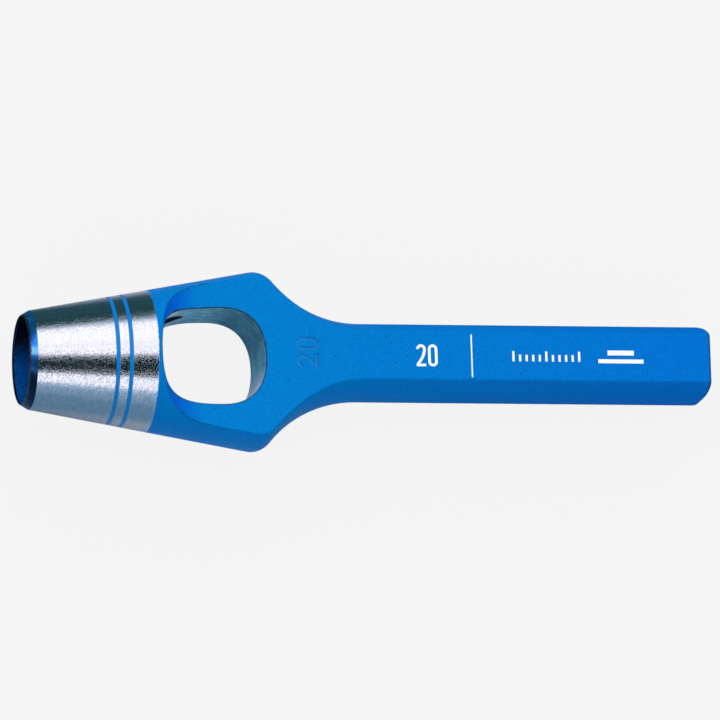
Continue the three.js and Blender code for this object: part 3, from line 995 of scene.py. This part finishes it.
# a painted pool of light on the floor under the window, seen only in bounce and reflections
FLOOR_PAINTED_LIGHT_UNDER_WINDOW = (0.95, 1.0, 1.0, 1.0)
UNDER_WINDOW_REACH = (0.02, 0.05)              # metres from the window's middle
FLOOR_SHADED = (0.03, 0.03, 0.03, 1.0)         # how much the floor shows of the tool's shadow
FLOOR_GLOW = 0.88
FLOOR_HALF_SIZE = 4.0                          # metres
FLOOR_BLEND_Y = 0.02                           # the two bounce colours meet within this of the axis
BACKDROP = 0.9                                 # what the camera sees past the floor
SIDE_LIGHT = 1.0
SIDE_LIGHT_COLOR = (0.35, 0.62, 1.0)
SIDE_LIGHT_SPREAD = 1.2                        # radians
SIDE_LIGHT_TURN = 1.45                         # radians from the camera's side towards the top

around_front = (toward_camera - toward_camera.dot(axis_x) * axis_x).normalized()
around_up = axis_x.cross(around_front)
around_up = around_up if around_up.dot(picture_up) > 0 else -around_up


def color_ramp(nodes, stops):
    ramp = nodes.new("ShaderNodeValToRGB")
    elements = ramp.color_ramp.elements
    while len(elements) > 1:
        elements.remove(elements[-1])
    elements[0].position = stops[0][0]
    elements[0].color = [*stops[0][1], 1.0]
    for position, color in stops[1:]:
        elements.new(position).color = [*color, 1.0]
    return ramp


def studio_world():
    world = bpy.data.worlds.new("studio")
    bpy.context.scene.world = world
    world.use_nodes = True
    nodes, links = world.node_tree.nodes, world.node_tree.links
    background = nodes["Background"]
    background.inputs["Color"].default_value = (1.0, 1.0, 1.0, 1.0)
    coordinate = nodes.new("ShaderNodeTexCoord")
    parts = []
    for direction in (around_up, around_front):
        dot = nodes.new("ShaderNodeVectorMath")
        dot.operation = "DOT_PRODUCT"
        dot.inputs[1].default_value = direction
        links.new(coordinate.outputs["Generated"], dot.inputs[0])
        parts.append(dot.outputs["Value"])
    angle = nodes.new("ShaderNodeMath")
    angle.operation = "ARCTAN2"
    links.new(parts[0], angle.inputs[0])
    links.new(parts[1], angle.inputs[1])
    share = nodes.new("ShaderNodeMapRange")
    share.inputs["From Min"].default_value = -math.pi
    share.inputs["From Max"].default_value = math.pi
    links.new(angle.outputs[0], share.inputs["Value"])
    bands = color_ramp(nodes, [
        ((a + 180) / 360, [level / BRIGHTEST * t for t in tint]) for a, level, tint in STUDIO_BANDS
    ])
    links.new(share.outputs["Result"], bands.inputs["Fac"])
    along = nodes.new("ShaderNodeVectorMath")
    along.operation = "DOT_PRODUCT"
    along.inputs[1].default_value = axis_x
    links.new(coordinate.outputs["Generated"], along.inputs[0])
    along_share = nodes.new("ShaderNodeMapRange")
    along_share.inputs["From Min"].default_value = -1.0
    links.new(along.outputs["Value"], along_share.inputs["Value"])
    ends = color_ramp(nodes, [((x + 1) / 2, left) for x, left in STUDIO_ENDS])
    links.new(along_share.outputs["Result"], ends.inputs["Fac"])
    scaled = nodes.new("ShaderNodeVectorMath")
    scaled.operation = "MULTIPLY"
    links.new(bands.outputs["Color"], scaled.inputs[0])
    links.new(ends.outputs["Color"], scaled.inputs[1])
    path = nodes.new("ShaderNodeLightPath")
    shown = nodes.new("ShaderNodeMix")
    shown.data_type = "RGBA"
    links.new(path.outputs["Is Camera Ray"], shown.inputs["Factor"])
    links.new(scaled.outputs[0], shown.inputs["A"])
    shown.inputs["B"].default_value = [BACKDROP / BRIGHTEST] * 3 + [1.0]
    links.new(shown.outputs["Result"], background.inputs["Color"])
    background.inputs["Strength"].default_value = BRIGHTEST


def pale_floor():
    bm = bmesh.new()
    bmesh.ops.create_grid(bm, x_segments=2, y_segments=2, size=FLOOR_HALF_SIZE)
    floor = new_object("floor", bm)
    floor.location.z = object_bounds()[0].z
    material = bpy.data.materials.new("floor")
    material.use_nodes = True
    nodes, links = material.node_tree.nodes, material.node_tree.links
    surface = nodes["Principled BSDF"]
    surface.inputs["Roughness"].default_value = 1.0
    surface.inputs["Specular IOR Level"].default_value = 0.0
    path = nodes.new("ShaderNodeLightPath")
    mix = nodes.new("ShaderNodeMix")
    mix.data_type = "RGBA"
    links.new(path.outputs["Is Camera Ray"], mix.inputs["Factor"])
    away = nodes.new("ShaderNodeVectorMath")
    away.operation = "DISTANCE"
    place_on_floor = nodes.new("ShaderNodeNewGeometry").outputs["Position"]
    links.new(place_on_floor, away.inputs[0])
    middle = tip + axis_x * WINDOW_WIDEST * MM
    away.inputs[1].default_value = (middle.x, middle.y, floor.location.z)
    # Painted pool of light: near the window's middle the floor sends back more light.
    near = nodes.new("ShaderNodeMapRange")
    near.inputs["From Min"].default_value, near.inputs["From Max"].default_value = UNDER_WINDOW_REACH
    links.new(away.outputs["Value"], near.inputs["Value"])
    bounce = nodes.new("ShaderNodeMix")
    bounce.data_type = "RGBA"
    links.new(near.outputs["Result"], bounce.inputs["Factor"])
    bounce.inputs["A"].default_value = FLOOR_PAINTED_LIGHT_UNDER_WINDOW
    across = nodes.new("ShaderNodeSeparateXYZ")
    links.new(place_on_floor, across.inputs[0])
    side = nodes.new("ShaderNodeMapRange")
    side.inputs["From Min"].default_value = -FLOOR_BLEND_Y
    side.inputs["From Max"].default_value = FLOOR_BLEND_Y
    links.new(across.outputs["Y"], side.inputs["Value"])
    far = nodes.new("ShaderNodeMix")
    far.data_type = "RGBA"
    links.new(side.outputs["Result"], far.inputs["Factor"])
    far.inputs["A"].default_value = FLOOR_BOUNCE_LOWER
    far.inputs["B"].default_value = FLOOR_BOUNCE_UPPER
    links.new(far.outputs["Result"], bounce.inputs["B"])
    links.new(bounce.outputs["Result"], mix.inputs["A"])
    mix.inputs["B"].default_value = FLOOR_SHADED
    links.new(mix.outputs["Result"], surface.inputs["Base Color"])
    surface.inputs["Emission Color"].default_value = (1.0, 1.0, 1.0, 1.0)
    glow = nodes.new("ShaderNodeMath")
    glow.operation = "MULTIPLY"
    links.new(path.outputs["Is Camera Ray"], glow.inputs[0])
    glow.inputs[1].default_value = FLOOR_GLOW
    links.new(glow.outputs[0], surface.inputs["Emission Strength"])
    floor.data.materials.append(material)


def side_light():
    """A broad lamp over the upper side, too soft to show as a highlight."""
    lamp = bpy.data.lights.new("side_light", "SUN")
    lamp.energy = SIDE_LIGHT
    lamp.angle = SIDE_LIGHT_SPREAD
    lamp.color = SIDE_LIGHT_COLOR
    holder = bpy.data.objects.new("side_light", lamp)
    bpy.context.scene.collection.objects.link(holder)
    direction = math.cos(SIDE_LIGHT_TURN) * around_front + math.sin(SIDE_LIGHT_TURN) * around_up
    holder.rotation_mode = "QUATERNION"
    holder.rotation_quaternion = direction.to_track_quat("Z", "Y")
    holder.visible_glossy = False


studio_world()
side_light()
pale_floor()
bpy.context.scene.view_settings.view_transform = "Standard"
